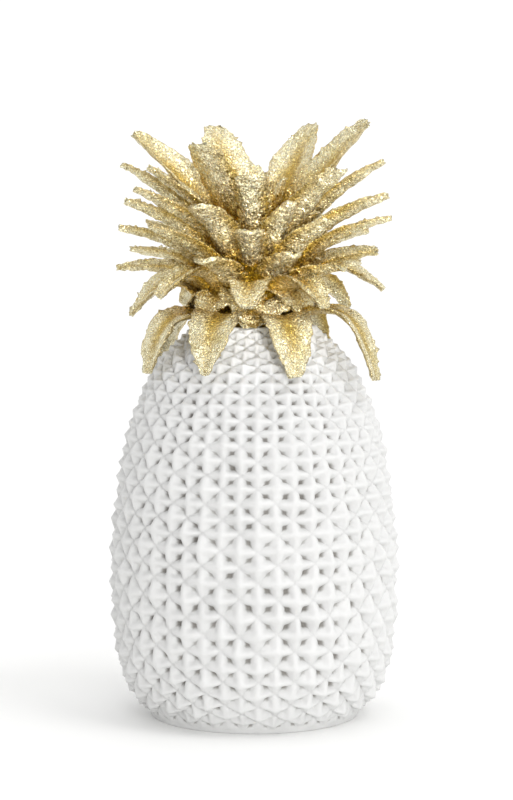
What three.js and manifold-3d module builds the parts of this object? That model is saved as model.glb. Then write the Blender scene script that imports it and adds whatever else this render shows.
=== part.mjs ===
// Pineapple ornament: a studded body, and a crown of leaves standing on it. Two castings that don't move.
// Millimetres, +Z up, front towards -Y, origin at the centre of the flat underside.
import * as THREE from 'three';
import { mergeVertices } from 'three/addons/utils/BufferGeometryUtils.js';
import Module from 'manifold-3d';

// Driving dimensions of the whole
const OVERALL_HEIGHT = 250;
const JOINT_GAP = 0.3;

// Driving dimensions of the body
const BODY_HEIGHT = 162.5;
const BODY_RADIUS = 61;
const FOOT_RADIUS = 43.7;
const FOOT_BAND = 1.2;
const SEAT_RADIUS = 26;

// Driving dimensions of the studs
const STUDS_PER_ROW = 24;
const STUD_TURN = 1.6;
const STUD_HEIGHT = 3.7;
const STUD_DROOP = 0.28;
const ROW_PITCH = 0.102;
const ROW_SWELL = 0.016;
const SWELL_PLACE = 0.26;
const SWELL_SPREAD = 0.15;
const DROOP_TOP = 0.45;
const FADE_ROWS = 2;
const OUTLINE_STEPS = 400;

// Driving dimensions of the crown
const CROWN_RADIUS = 59;
const HUB_RADIUS = 21;
const HUB_SIDES = 16;
const LEAF_WIDTH = 20;
const LEAF_THICKNESS = 1.7;
const LEAF_ROOT_WIDTH = 0.8;
const LEAF_FULL_AT = 0.33;
const LEAF_TAPER = 1.6;
const LEAF_REACH = 0.33;
const LEAF_REACH_BY_ARCH = 0.006;
const LEAF_STEPS = 4;
const DRAPE_GAP = 0.9;
const JOIN_TOLERANCE = 0.03;

const CROWN_SEAT = BODY_HEIGHT + JOINT_GAP;
const CROWN_HEIGHT = OVERALL_HEIGHT - CROWN_SEAT;
const UP = new THREE.Vector3(0, 0, 1);

// The body's outline over the stud tips, from foot to seat: shares of BODY_RADIUS and of BODY_HEIGHT
const OUTLINE_SHARES = [
  [0.842, 0.046], [0.924, 0.105], [0.977, 0.185], [0.996, 0.308], [1.0, 0.4], [0.985, 0.492],
  [0.943, 0.628], [0.883, 0.735], [0.791, 0.83], [0.688, 0.905], [0.575, 0.951],
];

// The leaves in tiers, from the skirt up. root is where a tier starts inside the hub, arch how far a leaf
// bows over and fold how far its two halves are folded up, in degrees. A leaf is its turn from the front in
// degrees, its tip's reach and height, its width and its tip's width, and its roll in degrees. Reach and
// root radius are shares of CROWN_RADIUS, heights of the crown's height, and widths of LEAF_WIDTH.
const TIERS = [
  { root: [0.2, 0.04], arch: 47, fold: 15, leaves: [
    [-64, 0.83, -0.24, 1.1, 0.4, 8], [-23, 0.86, -0.23, 1.25, 0.25, 0], [19.5, 0.84, -0.245, 1.15, 0.4, 0],
    [61, 0.96, -0.26, 0.95, 0.35, 0], [103, 0.85, -0.17, 1, 0.25, 0], [147, 0.86, -0.24, 1.15, 0.35, 0],
    [190, 0.84, -0.22, 1.15, 0.3, 0], [-125, 0.84, -0.25, 1.1, 0.35, 0]] },
  { root: [0.18, 0.09], arch: 50, fold: 24, leaves: [
    [-98, 0.91, 0.03, 1.15, 0.3, 25], [-50, 0.88, 0.13, 1, 0.35, 0], [-4, 0.76, 0.08, 1, 0.45, 0],
    [38, 0.8, 0.08, 1, 0.35, 0], [85, 0.93, 0.16, 1.05, 0.25, -12], [128, 0.88, 0.06, 1.05, 0.35, 0],
    [170, 0.9, 0.1, 1.1, 0.35, 0], [-143, 0.88, 0.08, 1.05, 0.3, 0]] },
  { root: [0.17, 0.13], arch: 25, fold: 34, leaves: [
    [-105, 0.94, 0.37, 0.95, 0.3, 0], [-78, 1, 0.275, 1, 0.2, 10], [-32, 0.72, 0.32, 1.05, 0.55, 0],
    [26, 0.66, 0.35, 1, 0.4, 0], [56, 0.78, 0.28, 1, 0.4, 0], [82, 0.91, 0.36, 1.05, 0.45, -15],
    [124, 0.95, 0.3, 1, 0.3, 0], [165, 0.92, 0.34, 1.05, 0.35, 0], [-148, 0.93, 0.32, 1, 0.3, 0]] },
  { root: [0.15, 0.19], arch: 22, fold: 40, leaves: [
    [-86, 0.97, 0.47, 0.9, 0.2, 0], [-58, 0.87, 0.475, 1, 0.25, 12], [-3, 0.62, 0.465, 0.8, 0.6, 0],
    [48, 0.74, 0.51, 1.1, 0.45, 0], [82, 0.98, 0.515, 0.9, 0.2, 0], [118, 0.95, 0.46, 0.95, 0.25, 0],
    [156, 0.93, 0.5, 1, 0.35, 0], [-165, 0.93, 0.48, 1, 0.3, 0], [-124, 0.95, 0.5, 0.95, 0.25, 0]] },
  { root: [0.13, 0.26], arch: 18, fold: 40, leaves: [
    [-76, 0.95, 0.6, 0.95, 0.3, 0], [-38, 0.7, 0.585, 1.2, 0.7, 0], [27, 0.6, 0.59, 1, 0.3, 0],
    [75, 0.98, 0.625, 0.95, 0.3, 0], [108, 0.92, 0.62, 0.9, 0.25, 0], [142, 0.92, 0.6, 0.95, 0.3, 0],
    [-176, 0.9, 0.62, 1, 0.35, 0], [-138, 0.92, 0.64, 0.95, 0.3, 0]] },
  { root: [0.11, 0.33], arch: 14, fold: 40, leaves: [
    [-82, 0.94, 0.77, 0.9, 0.2, 0], [-62, 0.94, 0.65, 0.95, 0.25, 12], [-4, 0.46, 0.735, 0.8, 0.65, 0],
    [48, 0.84, 0.75, 1.15, 0.6, 0], [73, 0.95, 0.78, 0.85, 0.2, 0], [103, 0.86, 0.76, 0.9, 0.25, 0],
    [160, 0.82, 0.78, 0.95, 0.35, 0], [-158, 0.84, 0.74, 0.95, 0.3, 0]] },
  { root: [0.09, 0.4], arch: 10, fold: 34, leaves: [
    [-64, 0.82, 0.75, 0.9, 0.25, 20], [-80, 0.87, 0.92, 1.1, 0.3, 40], [70, 0.85, 0.97, 1.1, 0.3, -40],
    [180, 0.4, 0.79, 0.8, 0.4, 0]] },
  { root: [0.06, 0.46], arch: 4, fold: 24, leaves: [
    [-152, 0.66, 0.993, 1.4, 0.55, 0], [-45, 0.59, 0.88, 1.3, 0.7, 0], [136, 0.62, 0.993, 1.4, 0.5, 0]] },
];

// The hub's outline from its foot to its top, as shares of HUB_RADIUS and of the crown's height
const HUB_SHARES = [[1, 0], [1, 0.06], [0.9, 0.16], [0.74, 0.3], [0.56, 0.44], [0.36, 0.56], [0, 0.62]];

const wasm = await Module();
wasm.setup();

const outline = new THREE.SplineCurve([
  new THREE.Vector2(FOOT_RADIUS, FOOT_BAND),
  ...OUTLINE_SHARES.map(([radius, height]) => new THREE.Vector2(radius * BODY_RADIUS, height * BODY_HEIGHT)),
  new THREE.Vector2(SEAT_RADIUS, BODY_HEIGHT),
]);
outline.arcLengthDivisions = OUTLINE_STEPS;
const outlineLength = outline.getLength();
const outlineSamples = outline.getSpacedPoints(OUTLINE_STEPS);

// The body's radius over the stud tips at a height
function bodyRadiusAt(z) {
  const above = outlineSamples.findIndex((point) => point.y >= z);
  if (above <= 0) return above < 0 ? SEAT_RADIUS : FOOT_RADIUS;
  const [low, high] = [outlineSamples[above - 1], outlineSamples[above]];
  return THREE.MathUtils.mapLinear(z, low.y, high.y, low.x, high.x);
}

// Where the rows of studs lie along the outline, from the foot band to the seat. A row's pitch is a share
// of the radius there, a little more where the body swells, and the rows are stretched to end at the seat.
function studRows() {
  const rows = [0];
  while (rows.at(-1) < outlineLength) {
    const place = outline.getPointAt(rows.at(-1) / outlineLength);
    const fullness = Math.exp(-(((place.y / BODY_HEIGHT - SWELL_PLACE) / SWELL_SPREAD) ** 2));
    rows.push(rows.at(-1) + (ROW_PITCH + ROW_SWELL * fullness) * place.x);
  }
  return rows.map((row) => (row * outlineLength) / rows.at(-1));
}

// A point of the body's skin, at a length along the outline, a turn in radians and a depth under the tips
function skinPoint(along, turn, depth) {
  const share = THREE.MathUtils.clamp(along / outlineLength, 0, 1);
  const place = outline.getPointAt(share);
  const tangent = outline.getTangentAt(share);
  const radius = place.x - tangent.y * depth;
  return new THREE.Vector3(radius * Math.sin(turn), -radius * Math.cos(turn), place.y + tangent.x * depth);
}

// A closed mesh from its points and its triangles, with the faces out
function closedGeometry(points, triangles) {
  const geometry = new THREE.BufferGeometry();
  geometry.setAttribute('position', new THREE.Float32BufferAttribute(points.flatMap((p) => p.toArray()), 3));
  geometry.setIndex(triangles.flat());
  return geometry;
}

// The studded body: studs in staggered rows, each a four-sided pyramid whose ridges run to the four corners
// that it shares with its neighbours
function bodyGeometry() {
  const rows = studRows();
  const last = rows.length - 1;
  const columns = 2 * STUDS_PER_ROW;
  const turnAt = (column) => THREE.MathUtils.degToRad(STUD_TURN) + (column * Math.PI) / STUDS_PER_ROW;
  const reliefAt = (row, radius) =>
    (STUD_HEIGHT * radius * Math.min(1, row / FADE_ROWS, (last - row) / FADE_ROWS)) / BODY_RADIUS;
  const points = [];
  const triangles = [];
  rows.forEach((along, row) => {
    const place = outline.getPointAt(along / outlineLength);
    const pitch = row > 0 && row < last ? (rows[row + 1] - rows[row - 1]) / 2 : 0;
    const droop = STUD_DROOP * pitch * Math.max(0, 1 - place.y / (DROOP_TOP * BODY_HEIGHT));
    for (let column = 0; column < columns; column += 1) {
      const isTip = (row + column) % 2 === 0;
      const depth = isTip ? 0 : reliefAt(row, place.x);
      points.push(skinPoint(along - (isTip ? droop : 0), turnAt(column), depth));
    }
  });
  const corner = (row, column) => row * columns + (column % columns);
  for (let row = 0; row < last; row += 1) {
    for (let column = 0; column < columns; column += 1) {
      const [a, b] = [corner(row, column), corner(row, column + 1)];
      const [c, d] = [corner(row + 1, column + 1), corner(row + 1, column)];
      // A cell is split along its valley, between the two corners that are no tips
      if ((row + column) % 2 === 0) triangles.push([a, b, d], [b, c, d]);
      else triangles.push([a, b, c], [a, c, d]);
    }
  }
  // The flat seat, and the foot band down to the flat underside
  const seatCentre = points.push(new THREE.Vector3(0, 0, BODY_HEIGHT)) - 1;
  const footCentre = points.push(new THREE.Vector3(0, 0, 0)) - 1;
  const footRing = points.length;
  for (let column = 0; column < columns; column += 1) {
    points.push(points[column].clone().setZ(0));
  }
  for (let column = 0; column < columns; column += 1) {
    const next = (column + 1) % columns;
    triangles.push([corner(last, column), corner(last, next), seatCentre]);
    triangles.push([footRing + column, footRing + next, corner(0, next)]);
    triangles.push([footRing + column, corner(0, next), corner(0, column)]);
    triangles.push([footRing + next, footRing + column, footCentre]);
  }
  return closedGeometry(points, triangles);
}

// A leaf's rim line in its upright plane, as radius and height, from inside the hub to the tip. It leaves the
// hub steeper than its chord by the arch and ends as much flatter.
function leafLine(root, tip, arch) {
  const chord = tip.clone().sub(root);
  const handle = chord.length() * (LEAF_REACH + LEAF_REACH_BY_ARCH * arch);
  const bow = THREE.MathUtils.degToRad(arch);
  const start = new THREE.Vector2(handle, 0).rotateAround(new THREE.Vector2(), chord.angle() + bow);
  const end = new THREE.Vector2(handle, 0).rotateAround(new THREE.Vector2(), chord.angle() - bow);
  const curve = new THREE.CubicBezierCurve(root, root.clone().add(start), tip.clone().sub(end), tip);
  return curve.getSpacedPoints(LEAF_STEPS);
}

// A leaf's half width along it: full at a third, and narrowing to its tip
function leafHalfWidth(share, width, tipWidth) {
  const full = (width * LEAF_WIDTH) / 2;
  if (share < LEAF_FULL_AT) {
    return full * THREE.MathUtils.lerp(LEAF_ROOT_WIDTH, 1, Math.sin(((share / LEAF_FULL_AT) * Math.PI) / 2));
  }
  const towardsTip = (share - LEAF_FULL_AT) / (1 - LEAF_FULL_AT);
  return THREE.MathUtils.lerp(full, (tipWidth * LEAF_WIDTH) / 2, towardsTip ** LEAF_TAPER);
}

// One leaf: a blade folded up along its middle, so that it has a channel along its upper side. Its two edges
// lie beside the rim line and its keel below it. Where it hangs past the body's seat it clears the studs.
function leafGeometry(root, tip, tier, [turn, , , width, tipWidth, roll]) {
  const line = leafLine(root, tip, tier.arch);
  const angle = THREE.MathUtils.degToRad(turn);
  const outward = new THREE.Vector3(Math.sin(angle), -Math.cos(angle), 0);
  const across = new THREE.Vector3(Math.cos(angle), Math.sin(angle), 0);
  const fold = THREE.MathUtils.degToRad(tier.fold);
  const points = [];
  line.forEach((place, step) => {
    const run = line[Math.min(step + 1, LEAF_STEPS)].clone().sub(line[Math.max(step - 1, 0)]).normalize();
    const along = outward.clone().multiplyScalar(run.x).addScaledVector(UP, run.y);
    const side = across.clone().applyAxisAngle(along, -THREE.MathUtils.degToRad(roll));
    const upper = along.clone().cross(side);
    const half = leafHalfWidth(step / LEAF_STEPS, width, tipWidth);
    const keel = half * Math.sin(fold) + LEAF_THICKNESS / 2;
    const clear = place.y - keel < BODY_HEIGHT ? bodyRadiusAt(place.y) + DRAPE_GAP + keel : 0;
    const radius = Math.max(place.x, run.y < 0 ? clear : 0);
    const centre = outward.clone().multiplyScalar(radius).addScaledVector(UP, place.y);
    for (const [edge, face] of [[-1, 1], [-1, -1], [0, -1], [1, -1], [1, 1], [0, 1]]) {
      const lift = half * (Math.abs(edge) - 1) * Math.sin(fold) + (face * LEAF_THICKNESS) / 2;
      const spread = edge * (half * Math.cos(fold) - (face * LEAF_THICKNESS * Math.sin(fold)) / 2);
      points.push(centre.clone().addScaledVector(side, spread).addScaledVector(upper, lift));
    }
  });
  const triangles = [];
  for (let step = 0; step < LEAF_STEPS; step += 1) {
    for (let k = 0; k < 6; k += 1) {
      const [a, b] = [6 * step + k, 6 * step + ((k + 1) % 6)];
      triangles.push([a, b, b + 6], [a, b + 6, a + 6]);
    }
  }
  const far = 6 * LEAF_STEPS;
  for (const [a, b, c] of [[0, 1, 2], [0, 2, 5], [5, 2, 3], [5, 3, 4]]) {
    triangles.push([c, b, a], [far + a, far + b, far + c]);
  }
  return closedGeometry(points, triangles);
}

// A closed geometry as a solid that can be joined
function solidOf(geometry) {
  const bare = geometry.clone();
  bare.deleteAttribute('normal');
  bare.deleteAttribute('uv');
  const merged = mergeVertices(bare, 1e-4);
  const vertProperties = new Float32Array(merged.attributes.position.array);
  const triVerts = new Uint32Array(merged.index.array);
  return new wasm.Manifold(new wasm.Mesh({ numProp: 3, vertProperties, triVerts }));
}

// The crown: the hub and all its leaves joined to one casting
function crownGeometry() {
  const hubOutline = [new THREE.Vector2(0, CROWN_SEAT),
    ...HUB_SHARES.map(([radius, height]) =>
      new THREE.Vector2(radius * HUB_RADIUS, CROWN_SEAT + height * CROWN_HEIGHT))];
  let crown = solidOf(new THREE.LatheGeometry(hubOutline, HUB_SIDES).rotateX(Math.PI / 2));
  for (const tier of TIERS) {
    const root = new THREE.Vector2(tier.root[0] * CROWN_RADIUS, CROWN_SEAT + tier.root[1] * CROWN_HEIGHT);
    for (const leaf of tier.leaves) {
      const [, reach, height] = leaf;
      const tip = new THREE.Vector2(reach * CROWN_RADIUS, CROWN_SEAT + height * CROWN_HEIGHT);
      crown = crown.add(solidOf(leafGeometry(root, tip, tier, leaf)));
    }
  }
  // Leaf roots close in on small hollows between them, which a casting fills
  const outside = crown.simplify(JOIN_TOLERANCE).decompose().filter((shell) => shell.volume() > 0);
  const { vertProperties, triVerts } = wasm.Manifold.union(outside).getMesh();
  const geometry = new THREE.BufferGeometry();
  geometry.setAttribute('position', new THREE.BufferAttribute(vertProperties, 3));
  geometry.setIndex(new THREE.BufferAttribute(triVerts, 1));
  return geometry;
}

function namedMesh(name, geometry, material) {
  const mesh = new THREE.Mesh(geometry, new THREE.MeshStandardMaterial(material));
  mesh.name = name;
  return mesh;
}

const ornament = new THREE.Group();
ornament.add(
  namedMesh('body', bodyGeometry(), { color: 0xeceae6, roughness: 0.55, metalness: 0 }),
  namedMesh('crown', crownGeometry(), { color: 0xc9b078, roughness: 0.35, metalness: 1 }),
);

export default ornament;
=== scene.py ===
# %% [markdown]
# A pineapple ornament
#
# The real thing is two castings of resin. The body is an egg shape covered in pointed studs and painted
# white. The crown is a bunch of long folded leaves, finished in crinkled champagne gold leaf. This lesson
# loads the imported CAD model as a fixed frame, makes a finer body and finer leaves in its place, gives them
# their paint and their gold, and lights them on a pale floor.

# %% Load the frame
import math
from functools import partial

import bmesh
import bpy
import numpy as np
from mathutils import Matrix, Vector, noise


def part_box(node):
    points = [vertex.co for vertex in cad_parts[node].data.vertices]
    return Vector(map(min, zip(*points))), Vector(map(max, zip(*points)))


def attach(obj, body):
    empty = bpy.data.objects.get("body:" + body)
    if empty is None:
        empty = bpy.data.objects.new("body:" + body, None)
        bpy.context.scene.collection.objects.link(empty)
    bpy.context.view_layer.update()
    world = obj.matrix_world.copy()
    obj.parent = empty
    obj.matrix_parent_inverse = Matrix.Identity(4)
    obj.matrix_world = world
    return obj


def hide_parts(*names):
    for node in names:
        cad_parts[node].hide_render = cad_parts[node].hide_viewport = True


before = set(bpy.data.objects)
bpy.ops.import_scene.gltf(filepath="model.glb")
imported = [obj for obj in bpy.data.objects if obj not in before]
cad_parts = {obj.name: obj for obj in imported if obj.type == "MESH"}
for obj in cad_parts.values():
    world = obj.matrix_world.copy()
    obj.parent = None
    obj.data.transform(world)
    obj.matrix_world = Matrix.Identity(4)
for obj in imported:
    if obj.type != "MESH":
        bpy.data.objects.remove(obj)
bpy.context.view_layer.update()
MM = 0.001

# %% Sizes that come from the frame
OVERALL_HEIGHT = 250 * MM
JOINT_GAP = 0.3 * MM
body_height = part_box("body")[1].z
crown_seat = body_height + JOINT_GAP
crown_height = OVERALL_HEIGHT - crown_seat
print("body height", round(body_height / MM, 1), "mm, crown height", round(crown_height / MM, 1), "mm")

# %% [markdown]
# Small helpers
#
# Every node tree here is written with one function that adds a node, fills its sockets and gives back an
# output, so a tree reads like the formula that it stands for. Colours are picked as sRGB hex values, as a
# paint chart gives them, and one function turns them to the linear values that shaders add up.


# %% Helpers for colours and nodes
def linear(colour):
    """The linear values of an sRGB hex colour."""
    channels = [int(colour[start : start + 2], 16) / 255 for start in (1, 3, 5)]
    return [*(c / 12.92 if c <= 0.04045 else ((c + 0.055) / 1.055) ** 2.4 for c in channels), 1.0]


def add(tree, kind, *inputs, named=None, out=0, **settings):
    """Adds a node, sets it up, fills its sockets with links or values, and gives one of its outputs.
    The kind may be followed by a space and the node's operation."""
    kind, _, operation = kind.partition(" ")
    node = tree.nodes.new(kind)
    if operation:
        settings["operation"] = operation
    for name, value in settings.items():
        setattr(node, name, value)
    usable = [socket for socket in node.inputs if socket.enabled]
    pairs = list(zip(usable, inputs))
    pairs += [(next(s for s in usable if s.name == name), value) for name, value in (named or {}).items()]
    for socket, value in pairs:
        if isinstance(value, bpy.types.NodeSocket):
            tree.links.new(value, socket)
        elif value is not None:
            socket.default_value = value
    return [socket for socket in node.outputs if socket.enabled][out]


# %% Helpers for geometry trees
def geometry_tree(name, inputs):
    """A geometry tree with named inputs, and its input sockets by name."""
    tree = bpy.data.node_groups.new(name, "GeometryNodeTree")
    for label, (kind, default) in inputs.items():
        socket = tree.interface.new_socket(name=label, in_out="INPUT", socket_type=kind)
        if default is not None:
            socket.default_value = default
    tree.interface.new_socket(name="Geometry", in_out="OUTPUT", socket_type="NodeSocketGeometry")
    group = tree.nodes.new("NodeGroupInput")
    return tree, {socket.name: socket for socket in group.outputs if socket.name}


def finish_tree(tree, geometry, material):
    """Ends a geometry tree: instances made real, the material set, and the result handed out."""
    real = add(tree, "GeometryNodeRealizeInstances", geometry)
    dressed = add(tree, "GeometryNodeSetMaterial", real, named={"Material": material})
    tree.links.new(dressed, tree.nodes.new("NodeGroupOutput").inputs["Geometry"])


def grow(name, tree, settings):
    """Runs a geometry tree on an empty mesh and gives its result as a plain mesh object."""
    holder = bpy.data.objects.new(name + "_holder", bpy.data.meshes.new(name + "_holder"))
    bpy.context.scene.collection.objects.link(holder)
    modifier = holder.modifiers.new(name, "NODES")
    modifier.node_group = tree
    for item in tree.interface.items_tree:
        if item.in_out == "INPUT" and item.name in settings:
            modifier[item.identifier] = settings[item.name]
    holder.update_tag()
    evaluated = holder.evaluated_get(bpy.context.evaluated_depsgraph_get())
    mesh = bpy.data.meshes.new_from_object(evaluated)
    holder.modifiers.clear()
    bpy.data.objects.remove(holder)
    mesh.name = name
    piece = bpy.data.objects.new(name, mesh)
    bpy.context.scene.collection.objects.link(piece)
    print(name, "has", sum(len(polygon.vertices) - 2 for polygon in mesh.polygons), "triangles")
    return piece


def point_guide(name, points, attributes):
    """A mesh of loose points that carries numbers and directions for a geometry tree to read."""
    mesh = bpy.data.meshes.new(name)
    mesh.from_pydata([tuple(point) for point in points], [], [])
    for label, values in {"place": points, **attributes}.items():
        values = np.asarray(values, np.float32)
        kind = "FLOAT_VECTOR" if values.ndim == 2 else "FLOAT"
        attribute = mesh.attributes.new(label, kind, "POINT")
        attribute.data.foreach_set("vector" if values.ndim == 2 else "value", values.ravel())
    guide = bpy.data.objects.new(name, mesh)
    bpy.context.scene.collection.objects.link(guide)
    return guide


def read_guide(tree, guide, index, kinds):
    """What the guide's point of an index carries, by label."""
    step = partial(add, tree)
    points = step("GeometryNodeObjectInfo", guide, out=4)
    fields = {}
    for label, kind in kinds.items():
        carried = step("GeometryNodeInputNamedAttribute", label, data_type=kind)
        fields[label] = step("GeometryNodeSampleIndex", points, carried, index, data_type=kind)
    return fields


# %% [markdown]
# The camera
#
# It stands where the photographer stood: nearly level with the crown, about 0.9 m from the ornament, looking
# slightly down. The lens is long, so the body keeps its true outline. The frame is taken as 513 by 800.

# %% Place the camera
SENSOR_WIDTH = 36
CAMERA_DISTANCE = 909.7 * MM
CAMERA_HEIGHT = 193.8 * MM
FOCUS_PIXELS = 2187
AXIS_OFFSET_PIXELS = 2.2
HORIZON_OFFSET_PIXELS = 150
FRAME_HEIGHT_PIXELS = 800

camera_data = bpy.data.cameras.new("photo camera")
camera_data.sensor_width = SENSOR_WIDTH
camera_data.lens = SENSOR_WIDTH * FOCUS_PIXELS / FRAME_HEIGHT_PIXELS
camera = bpy.data.objects.new("photo camera", camera_data)
camera.location = (0, -CAMERA_DISTANCE, CAMERA_HEIGHT)
pitch = math.atan(HORIZON_OFFSET_PIXELS / FOCUS_PIXELS)
yaw = math.atan(AXIS_OFFSET_PIXELS / FOCUS_PIXELS)
camera.rotation_euler = (math.pi / 2 - pitch, 0, -yaw)
bpy.context.scene.collection.objects.link(camera)
bpy.context.scene.camera = camera
print("lens", round(camera_data.lens, 1), "mm, looking down", round(math.degrees(pitch), 2), "degrees")

# %% [markdown]
# White paint on cast resin
#
# The body is polyurethane resin with a brushed white satin paint. The paint is thick, so it rounds every edge
# and leaves a faint orange peel. Deep in the pits its colour is painted greyer, as painted shade.
# A plain white shader would look like plaster: what makes it paint is the soft gloss on the arms.

# %% Mix the white paint
PAINT_PEEL = 1.6 * MM
PEEL_DEPTH = 0.25 * MM
BRUSH_GRAIN = 9 * MM
BRUSHED_TONES = ("#DADAD9", "#D2D2D1")
PIT_SHADE_TONE = "#8E8B86"
PIT_SHADE_START = 0.8
PIT_SHADE_END = 1.15
PAINT_GLOSS = (0.42, 0.56)
PAINT_IOR = 1.47

paint = bpy.data.materials.new("satin white paint on resin")
paint.use_nodes = True
paint.node_tree.nodes.clear()
step = partial(add, paint.node_tree)
place = step("ShaderNodeTexCoord", out=3)
hollow = step("ShaderNodeAttribute", attribute_name="hollow", out=2)
patches = step("ShaderNodeTexNoise", place, named={"Scale": 1 / BRUSH_GRAIN, "Detail": 3.0})
# Painted shade: the paint is painted greyer the deeper a point lies in its pit
pit_shade_mask = step("ShaderNodeMapRange", hollow, PIT_SHADE_START, PIT_SHADE_END, 0.0, 1.0, interpolation_type="SMOOTHSTEP")
open_paint = step("ShaderNodeMix", patches, *map(linear, BRUSHED_TONES), data_type="RGBA")
colour = step("ShaderNodeMix", pit_shade_mask, open_paint, linear(PIT_SHADE_TONE), data_type="RGBA")
gloss = step("ShaderNodeMapRange", patches, 0.3, 0.7, *PAINT_GLOSS)
peel = step("ShaderNodeTexNoise", place, named={"Scale": 1 / PAINT_PEEL, "Detail": 3.0, "Roughness": 0.55})
bump = step("ShaderNodeBump", named={"Strength": 0.35, "Distance": PEEL_DEPTH, "Height": peel})
shader = step(
    "ShaderNodeBsdfPrincipled",
    named={"Base Color": colour, "Roughness": gloss, "Normal": bump, "IOR": PAINT_IOR},
)
step("ShaderNodeOutputMaterial", shader, out=slice(None))
print("paint peel", round(PAINT_PEEL / MM, 1), "mm")

# %% [markdown]
# Champagne gold leaf
#
# The crown is finished in thin metal leaf, laid on wet size so that it crinkled. Its folds are a little
# over a millimetre apart, and flakes finer than the folds tilt each its own way. So the pale champagne metal
# glints between creases that are painted darker as painted shade. Painted shade also darkens the hollow of
# each leaf's fold and the sides of its keel, the roots more, the hub between them most, and the torn rims
# as the creases. It is a metal, so its colour is the colour of its reflections.
#
# A mask below is written as four numbers: the range that it reads, then the strengths at its two ends.

# %% Lay the gold leaf
FOIL_FOLD = 1.3 * MM
FOIL_CREASE = 1.4 * MM
FOIL_FLAKE = 0.6 * MM
FLAKE_TILT = 0.7
FOLD_DEPTH = 0.18 * MM
CREASE_DEPTH = 0.3 * MM
TONE_PATCH = 14 * MM
PALE_TONES = ("#F4E9BC", "#FFFCE6")
ANTIQUE_TONE = "#D6C470"
FOLD_SHADE_TONE = "#CCAA34"
ROOT_SHADE_TONE = "#C09C30"
HUB_SHADE_TONE = "#6E5312"
CREASE_SHADE_TONE = "#A38218"
ANTIQUE_MASK = (0.5, 0.66, 0.0, 0.35)
FOLD_SHADE_MASK = (0.4, 0.95, 0.0, 0.8)
FOLD_SHADE_TIP_MASK = (0.55, 0.95, 1.0, 0.25)
ROOT_SHADE_MASK = (0.15, 0.6, 1.0, 0.0)
HUB_SHADE_MASK = (-1.0, 0.0, 1.0, 0.0)
RIM_SHADE_MASK = (0.86, 1.0, 0.0, 0.6)
CREASE_SHADE_MASK = (0.0, 0.7, 0.58, 0.0)
FOIL_GLOSS = (0.16, 0.32)
FOLD_WIDTH = 0.1
CREASE_WIDTH = 0.25

gold = bpy.data.materials.new("crinkled champagne gold leaf")
gold.use_nodes = True
gold.node_tree.nodes.clear()
step = partial(add, gold.node_tree)
smooth_mask = partial(step, "ShaderNodeMapRange", interpolation_type="SMOOTHSTEP")
place = step("ShaderNodeTexCoord", out=3)
along_leaf = step("ShaderNodeAttribute", attribute_name="along", out=2)
off_ridge = step("ShaderNodeAttribute", attribute_name="off_ridge", out=2)
inner = step("ShaderNodeAttribute", attribute_name="inner", out=2)
patches = step("ShaderNodeTexNoise", place, named={"Scale": 1 / TONE_PATCH, "Detail": 4.0, "Roughness": 0.6})
grain = step("ShaderNodeTexNoise", place, named={"Scale": 1 / FOIL_FOLD, "Detail": 3.0, "Distortion": 0.6})
creases = step(
    "ShaderNodeTexVoronoi",
    place,
    named={"Scale": 1 / FOIL_CREASE, "Randomness": 1.0},
    feature="DISTANCE_TO_EDGE",
)
off_level = step("ShaderNodeMath ABSOLUTE", step("ShaderNodeMath SUBTRACT", grain, 0.5))
plains = step("ShaderNodeMapRange", off_level, 0.0, FOLD_WIDTH, 0.0, 1.0)

# %% Tone the gold leaf
pale = step("ShaderNodeMix", grain, *map(linear, PALE_TONES), data_type="RGBA")
antique_mask = smooth_mask(patches, *ANTIQUE_MASK)
toned = step("ShaderNodeMix", antique_mask, pale, linear(ANTIQUE_TONE), data_type="RGBA")
# Painted shade: darker in the channel of the fold on the inner face, and towards the edges on the keel side,
# less so near the tip
inner_share = step("ShaderNodeMapRange", inner, -0.3, 0.3, 0.0, 1.0)
in_fold = step("ShaderNodeMath SUBTRACT", 1.0, off_ridge)
fold_shade_place = step("ShaderNodeMix", inner_share, off_ridge, in_fold)
fold_shade_mask = smooth_mask(fold_shade_place, *FOLD_SHADE_MASK)
painted_fold_shade = step("ShaderNodeMath MULTIPLY", fold_shade_mask, smooth_mask(along_leaf, *FOLD_SHADE_TIP_MASK))
fold_shaded = step("ShaderNodeMix", painted_fold_shade, toned, linear(FOLD_SHADE_TONE), data_type="RGBA")
# Painted shade: the roots, deep in the crown, are painted darker
root_shade_mask = smooth_mask(along_leaf, *ROOT_SHADE_MASK)
deep_shaded = step("ShaderNodeMix", root_shade_mask, fold_shaded, linear(ROOT_SHADE_TONE), data_type="RGBA")
# Painted shade: the hub, seen only in the gaps between leaves, is painted darkest
hub_shade_mask = step("ShaderNodeMapRange", along_leaf, *HUB_SHADE_MASK)
deep_shaded = step("ShaderNodeMix", hub_shade_mask, deep_shaded, linear(HUB_SHADE_TONE), data_type="RGBA")
# Painted shade: the torn rims are painted darker, in the crease colour
rim_shade_mask = step("ShaderNodeMapRange", off_ridge, *RIM_SHADE_MASK)
# Painted shade: the crinkle creases of the foil are painted darker
crease_shade_mask = step("ShaderNodeMapRange", plains, *CREASE_SHADE_MASK)
crease_shade_mask = step("ShaderNodeMath MAXIMUM", crease_shade_mask, rim_shade_mask)
colour = step("ShaderNodeMix", crease_shade_mask, deep_shaded, linear(CREASE_SHADE_TONE), data_type="RGBA")
print("tones: pale", PALE_TONES[1], "to creases", CREASE_SHADE_TONE)

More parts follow.
